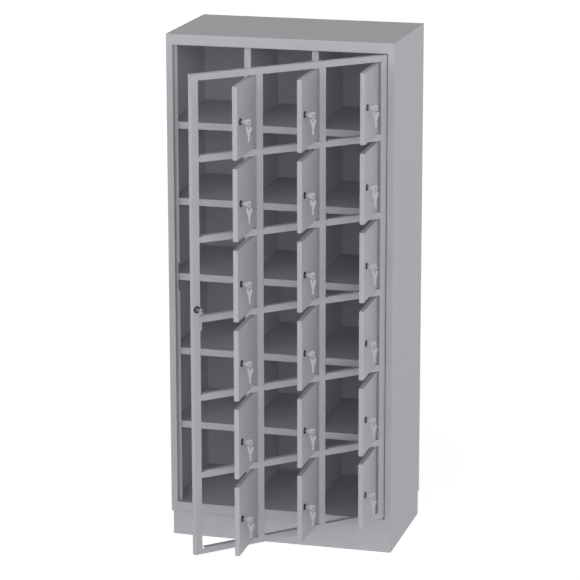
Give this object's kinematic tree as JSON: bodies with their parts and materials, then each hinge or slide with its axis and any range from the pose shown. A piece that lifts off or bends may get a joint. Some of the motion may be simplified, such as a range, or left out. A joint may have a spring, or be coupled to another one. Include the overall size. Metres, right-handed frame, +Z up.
{
  "type": "compartment locker",
  "caption": "Steel compartment locker whose lockable framed leaf opens every column at once, each compartment also having a small door with its own cam lock.",
  "frame": {"origin": "middle of the footprint of the carcase, on the floor", "axes": "+Z up, the front of the carcase faces -Y, +X to the right as seen from the front"},
  "size_m": [0.8, 1.0067, 1.8],
  "materials": {
    "grey_paint": "satin light grey powder coat",
    "lock_black": "satin black",
    "bright_metal": "nickel or zinc plated"
  },
  "bodies": {
    "carcase": {"plinth": "grey_paint", "floor_panel": "grey_paint", "left_side_panel": "grey_paint", "right_side_panel": "grey_paint", "top_panel": "grey_paint", "back_panel": "grey_paint", "partition_1": "grey_paint", "partition_2": "grey_paint", "shelves_c1": "grey_paint", "shelves_c2": "grey_paint", "shelves_c3": "grey_paint", "leaf_washer": "bright_metal"},
    "leaf": {"leaf_left_stile": "grey_paint", "leaf_right_stile": "grey_paint", "leaf_top_rail": "grey_paint", "leaf_bottom_rail": "grey_paint", "leaf_mullion_1": "grey_paint", "leaf_mullion_2": "grey_paint", "leaf_transoms": "grey_paint", "leaf_hinge_pins": "bright_metal", "door_hinge_pins": "bright_metal", "door_washers": "bright_metal", "leaf_lock_body": "lock_black"},
    "leaf_lock": {"leaf_lock_core": "bright_metal"},
    "door_c1_r1": {"door_c1_r1": "grey_paint"},
    "lock_c1_r1": {"lock_c1_r1": "bright_metal"},
    "door_c1_r2": {"door_c1_r2": "grey_paint"},
    "lock_c1_r2": {"lock_c1_r2": "bright_metal"},
    "door_c1_r3": {"door_c1_r3": "grey_paint"},
    "lock_c1_r3": {"lock_c1_r3": "bright_metal"},
    "door_c1_r4": {"door_c1_r4": "grey_paint"},
    "lock_c1_r4": {"lock_c1_r4": "bright_metal"},
    "door_c1_r5": {"door_c1_r5": "grey_paint"},
    "lock_c1_r5": {"lock_c1_r5": "bright_metal"},
    "door_c1_r6": {"door_c1_r6": "grey_paint"},
    "lock_c1_r6": {"lock_c1_r6": "bright_metal"},
    "door_c2_r1": {"door_c2_r1": "grey_paint"},
    "lock_c2_r1": {"lock_c2_r1": "bright_metal"},
    "door_c2_r2": {"door_c2_r2": "grey_paint"},
    "lock_c2_r2": {"lock_c2_r2": "bright_metal"},
    "door_c2_r3": {"door_c2_r3": "grey_paint"},
    "lock_c2_r3": {"lock_c2_r3": "bright_metal"},
    "door_c2_r4": {"door_c2_r4": "grey_paint"},
    "lock_c2_r4": {"lock_c2_r4": "bright_metal"},
    "door_c2_r5": {"door_c2_r5": "grey_paint"},
    "lock_c2_r5": {"lock_c2_r5": "bright_metal"},
    "door_c2_r6": {"door_c2_r6": "grey_paint"},
    "lock_c2_r6": {"lock_c2_r6": "bright_metal"},
    "door_c3_r1": {"door_c3_r1": "grey_paint"},
    "lock_c3_r1": {"lock_c3_r1": "bright_metal"},
    "door_c3_r2": {"door_c3_r2": "grey_paint"},
    "lock_c3_r2": {"lock_c3_r2": "bright_metal"},
    "door_c3_r3": {"door_c3_r3": "grey_paint"},
    "lock_c3_r3": {"lock_c3_r3": "bright_metal"},
    "door_c3_r4": {"door_c3_r4": "grey_paint"},
    "lock_c3_r4": {"lock_c3_r4": "bright_metal"},
    "door_c3_r5": {"door_c3_r5": "grey_paint"},
    "lock_c3_r5": {"lock_c3_r5": "bright_metal"},
    "door_c3_r6": {"door_c3_r6": "grey_paint"},
    "lock_c3_r6": {"lock_c3_r6": "bright_metal"}
  },
  "joints": [
    {"name": "leaf_hinge", "type": "hinge", "parent": "carcase", "child": "leaf", "pos_m": [0.3655, -0.22, 0.944], "axis": [0, 0, 1], "range_deg": [-45.5, 64.5]},
    {"name": "leaf_lock_turn", "type": "hinge", "parent": "leaf", "child": "leaf_lock", "pos_m": [-0.13909, -0.74061, 0.979], "axis": [0.7133, -0.7009, 0], "range_deg": [-90, 0]},
    {"name": "door_c1_r1_hinge", "type": "hinge", "parent": "leaf", "child": "door_c1_r1", "pos_m": [0.00628, -0.58554, 1.61375], "axis": [0, 0, 1], "range_deg": [-45.5, 59.5]},
    {"name": "lock_c1_r1_turn", "type": "hinge", "parent": "door_c1_r1", "child": "lock_c1_r1", "pos_m": [0.01409, -0.74643, 1.61375], "axis": [0.9998, 0.0175, 0], "range_deg": [-90, 0]},
    {"name": "door_c1_r2_hinge", "type": "hinge", "parent": "leaf", "child": "door_c1_r2", "pos_m": [0.00628, -0.58554, 1.34525], "axis": [0, 0, 1], "range_deg": [-45.5, 59.5]},
    {"name": "lock_c1_r2_turn", "type": "hinge", "parent": "door_c1_r2", "child": "lock_c1_r2", "pos_m": [0.01409, -0.74643, 1.34525], "axis": [0.9998, 0.0175, 0], "range_deg": [-90, 0]},
    {"name": "door_c1_r3_hinge", "type": "hinge", "parent": "leaf", "child": "door_c1_r3", "pos_m": [0.00628, -0.58554, 1.07675], "axis": [0, 0, 1], "range_deg": [-45.5, 59.5]},
    {"name": "lock_c1_r3_turn", "type": "hinge", "parent": "door_c1_r3", "child": "lock_c1_r3", "pos_m": [0.01409, -0.74643, 1.07675], "axis": [0.9998, 0.0175, 0], "range_deg": [-90, 0]},
    {"name": "door_c1_r4_hinge", "type": "hinge", "parent": "leaf", "child": "door_c1_r4", "pos_m": [0.00628, -0.58554, 0.80825], "axis": [0, 0, 1], "range_deg": [-45.5, 59.5]},
    {"name": "lock_c1_r4_turn", "type": "hinge", "parent": "door_c1_r4", "child": "lock_c1_r4", "pos_m": [0.01409, -0.74643, 0.80825], "axis": [0.9998, 0.0175, 0], "range_deg": [-90, 0]},
    {"name": "door_c1_r5_hinge", "type": "hinge", "parent": "leaf", "child": "door_c1_r5", "pos_m": [0.00628, -0.58554, 0.53975], "axis": [0, 0, 1], "range_deg": [-45.5, 59.5]},
    {"name": "lock_c1_r5_turn", "type": "hinge", "parent": "door_c1_r5", "child": "lock_c1_r5", "pos_m": [0.01409, -0.74643, 0.53975], "axis": [0.9998, 0.0175, 0], "range_deg": [-90, 0]},
    {"name": "door_c1_r6_hinge", "type": "hinge", "parent": "leaf", "child": "door_c1_r6", "pos_m": [0.00628, -0.58554, 0.27125], "axis": [0, 0, 1], "range_deg": [-45.5, 59.5]},
    {"name": "lock_c1_r6_turn", "type": "hinge", "parent": "door_c1_r6", "child": "lock_c1_r6", "pos_m": [0.01409, -0.74643, 0.27125], "axis": [0.9998, 0.0175, 0], "range_deg": [-90, 0]},
    {"name": "door_c2_r1_hinge", "type": "hinge", "parent": "leaf", "child": "door_c2_r1", "pos_m": [0.1745, -0.41436, 1.61375], "axis": [0, 0, 1], "range_deg": [-45.5, 59.5]},
    {"name": "lock_c2_r1_turn", "type": "hinge", "parent": "door_c2_r1", "child": "lock_c2_r1", "pos_m": [0.18231, -0.57525, 1.61375], "axis": [0.9998, 0.0175, 0], "range_deg": [-90, 0]},
    {"name": "door_c2_r2_hinge", "type": "hinge", "parent": "leaf", "child": "door_c2_r2", "pos_m": [0.1745, -0.41436, 1.34525], "axis": [0, 0, 1], "range_deg": [-45.5, 59.5]},
    {"name": "lock_c2_r2_turn", "type": "hinge", "parent": "door_c2_r2", "child": "lock_c2_r2", "pos_m": [0.18231, -0.57525, 1.34525], "axis": [0.9998, 0.0175, 0], "range_deg": [-90, 0]},
    {"name": "door_c2_r3_hinge", "type": "hinge", "parent": "leaf", "child": "door_c2_r3", "pos_m": [0.1745, -0.41436, 1.07675], "axis": [0, 0, 1], "range_deg": [-45.5, 59.5]},
    {"name": "lock_c2_r3_turn", "type": "hinge", "parent": "door_c2_r3", "child": "lock_c2_r3", "pos_m": [0.18231, -0.57525, 1.07675], "axis": [0.9998, 0.0175, 0], "range_deg": [-90, 0]},
    {"name": "door_c2_r4_hinge", "type": "hinge", "parent": "leaf", "child": "door_c2_r4", "pos_m": [0.1745, -0.41436, 0.80825], "axis": [0, 0, 1], "range_deg": [-45.5, 59.5]},
    {"name": "lock_c2_r4_turn", "type": "hinge", "parent": "door_c2_r4", "child": "lock_c2_r4", "pos_m": [0.18231, -0.57525, 0.80825], "axis": [0.9998, 0.0175, 0], "range_deg": [-90, 0]},
    {"name": "door_c2_r5_hinge", "type": "hinge", "parent": "leaf", "child": "door_c2_r5", "pos_m": [0.1745, -0.41436, 0.53975], "axis": [0, 0, 1], "range_deg": [-45.5, 59.5]},
    {"name": "lock_c2_r5_turn", "type": "hinge", "parent": "door_c2_r5", "child": "lock_c2_r5", "pos_m": [0.18231, -0.57525, 0.53975], "axis": [0.9998, 0.0175, 0], "range_deg": [-90, 0]},
    {"name": "door_c2_r6_hinge", "type": "hinge", "parent": "leaf", "child": "door_c2_r6", "pos_m": [0.1745, -0.41436, 0.27125], "axis": [0, 0, 1], "range_deg": [-45.5, 59.5]},
    {"name": "lock_c2_r6_turn", "type": "hinge", "parent": "door_c2_r6", "child": "lock_c2_r6", "pos_m": [0.18231, -0.57525, 0.27125], "axis": [0.9998, 0.0175, 0], "range_deg": [-90, 0]},
    {"name": "door_c3_r1_hinge", "type": "hinge", "parent": "leaf", "child": "door_c3_r1", "pos_m": [0.34272, -0.24318, 1.61375], "axis": [0, 0, 1], "range_deg": [-45.5, 59.5]},
    {"name": "lock_c3_r1_turn", "type": "hinge", "parent": "door_c3_r1", "child": "lock_c3_r1", "pos_m": [0.35053, -0.40407, 1.61375], "axis": [0.9998, 0.0175, 0], "range_deg": [-90, 0]},
    {"name": "door_c3_r2_hinge", "type": "hinge", "parent": "leaf", "child": "door_c3_r2", "pos_m": [0.34272, -0.24318, 1.34525], "axis": [0, 0, 1], "range_deg": [-45.5, 59.5]},
    {"name": "lock_c3_r2_turn", "type": "hinge", "parent": "door_c3_r2", "child": "lock_c3_r2", "pos_m": [0.35053, -0.40407, 1.34525], "axis": [0.9998, 0.0175, 0], "range_deg": [-90, 0]},
    {"name": "door_c3_r3_hinge", "type": "hinge", "parent": "leaf", "child": "door_c3_r3", "pos_m": [0.34272, -0.24318, 1.07675], "axis": [0, 0, 1], "range_deg": [-45.5, 59.5]},
    {"name": "lock_c3_r3_turn", "type": "hinge", "parent": "door_c3_r3", "child": "lock_c3_r3", "pos_m": [0.35053, -0.40407, 1.07675], "axis": [0.9998, 0.0175, 0], "range_deg": [-90, 0]},
    {"name": "door_c3_r4_hinge", "type": "hinge", "parent": "leaf", "child": "door_c3_r4", "pos_m": [0.34272, -0.24318, 0.80825], "axis": [0, 0, 1], "range_deg": [-45.5, 59.5]},
    {"name": "lock_c3_r4_turn", "type": "hinge", "parent": "door_c3_r4", "child": "lock_c3_r4", "pos_m": [0.35053, -0.40407, 0.80825], "axis": [0.9998, 0.0175, 0], "range_deg": [-90, 0]},
    {"name": "door_c3_r5_hinge", "type": "hinge", "parent": "leaf", "child": "door_c3_r5", "pos_m": [0.34272, -0.24318, 0.53975], "axis": [0, 0, 1], "range_deg": [-45.5, 59.5]},
    {"name": "lock_c3_r5_turn", "type": "hinge", "parent": "door_c3_r5", "child": "lock_c3_r5", "pos_m": [0.35053, -0.40407, 0.53975], "axis": [0.9998, 0.0175, 0], "range_deg": [-90, 0]},
    {"name": "door_c3_r6_hinge", "type": "hinge", "parent": "leaf", "child": "door_c3_r6", "pos_m": [0.34272, -0.24318, 0.27125], "axis": [0, 0, 1], "range_deg": [-45.5, 59.5]},
    {"name": "lock_c3_r6_turn", "type": "hinge", "parent": "door_c3_r6", "child": "lock_c3_r6", "pos_m": [0.35053, -0.40407, 0.27125], "axis": [0.9998, 0.0175, 0], "range_deg": [-90, 0]}
  ]
}
